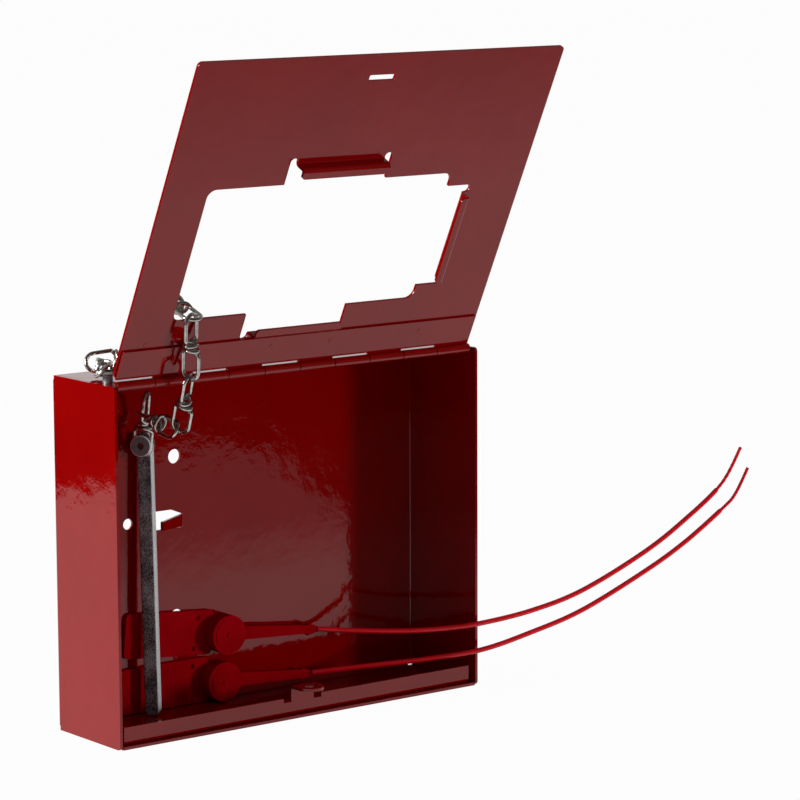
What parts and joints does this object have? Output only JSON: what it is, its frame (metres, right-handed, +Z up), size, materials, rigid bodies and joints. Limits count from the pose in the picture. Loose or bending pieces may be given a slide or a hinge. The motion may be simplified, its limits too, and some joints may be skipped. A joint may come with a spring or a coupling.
{
  "type": "break glass key box",
  "caption": "Folded steel key box with a top-hung glass-window door standing open, a chained striker bar inside and two pull-tight plastic seals.",
  "frame": {"origin": "middle of the case's base face, half way between its side walls and half way between its back face and its front edges", "axes": "+X to the case's right side seen from the front, +Y out of its flat back, +Z up; the door and the seals' straps reach out towards -Y"},
  "size_m": [0.2581, 0.0862, 0.2265],
  "materials": {
    "red_case": "glossy red powder coat with light orange peel",
    "red_door": "glossy red powder coat",
    "pin_steel": "drawn steel wire",
    "rivet_steel": "zinc-plated steel",
    "chain_steel": "bright nickel-plated wire",
    "bar_steel": "dark rolled steel with wear",
    "seal_plastic": "moulded red polypropylene",
    "seal_strap": "moulded red polypropylene"
  },
  "bodies": {
    "case": {"case_shell": "red_case", "catch_strip": "red_case", "hinge_case_leaf": "red_case", "hinge_pin": "pin_steel", "chain_rivet": "rivet_steel", "chain_link_1": "chain_steel", "chain_link_2": "chain_steel", "chain_link_3": "chain_steel", "chain_link_4": "chain_steel", "chain_link_5": "chain_steel", "chain_link_6": "chain_steel", "chain_link_7": "chain_steel", "chain_link_8": "chain_steel", "seal_upper_body": "seal_plastic", "seal_upper_cap": "seal_plastic", "seal_upper_strap": "seal_strap", "seal_lower_body": "seal_plastic", "seal_lower_cap": "seal_plastic", "seal_lower_strap": "seal_strap"},
    "door": {"hinge_door_leaf": "red_door", "door_panel": "red_door"},
    "striker": {"striker_bar": "bar_steel", "striker_rivet": "rivet_steel"}
  },
  "joints": [
    {"name": "door_swing", "type": "hinge", "parent": "case", "child": "door", "pos_m": [0, -0.0163, 0.1198], "axis": [-1, 0, 0], "range_deg": [-153.6, 46], "deforming": ["chain_link_1", "chain_link_2", "chain_link_3", "chain_link_4", "chain_link_5", "chain_link_6", "chain_link_7", "chain_link_8", "seal_upper_strap", "seal_lower_strap"]},
    {"name": "striker_lift", "type": "slide", "parent": "case", "child": "striker", "axis": [0, -0.9717, 0.2362], "range_m": [0, 0.05], "deforming": ["chain_link_1", "chain_link_2", "chain_link_3", "chain_link_4", "chain_link_5", "chain_link_6", "chain_link_7", "chain_link_8"]}
  ]
}
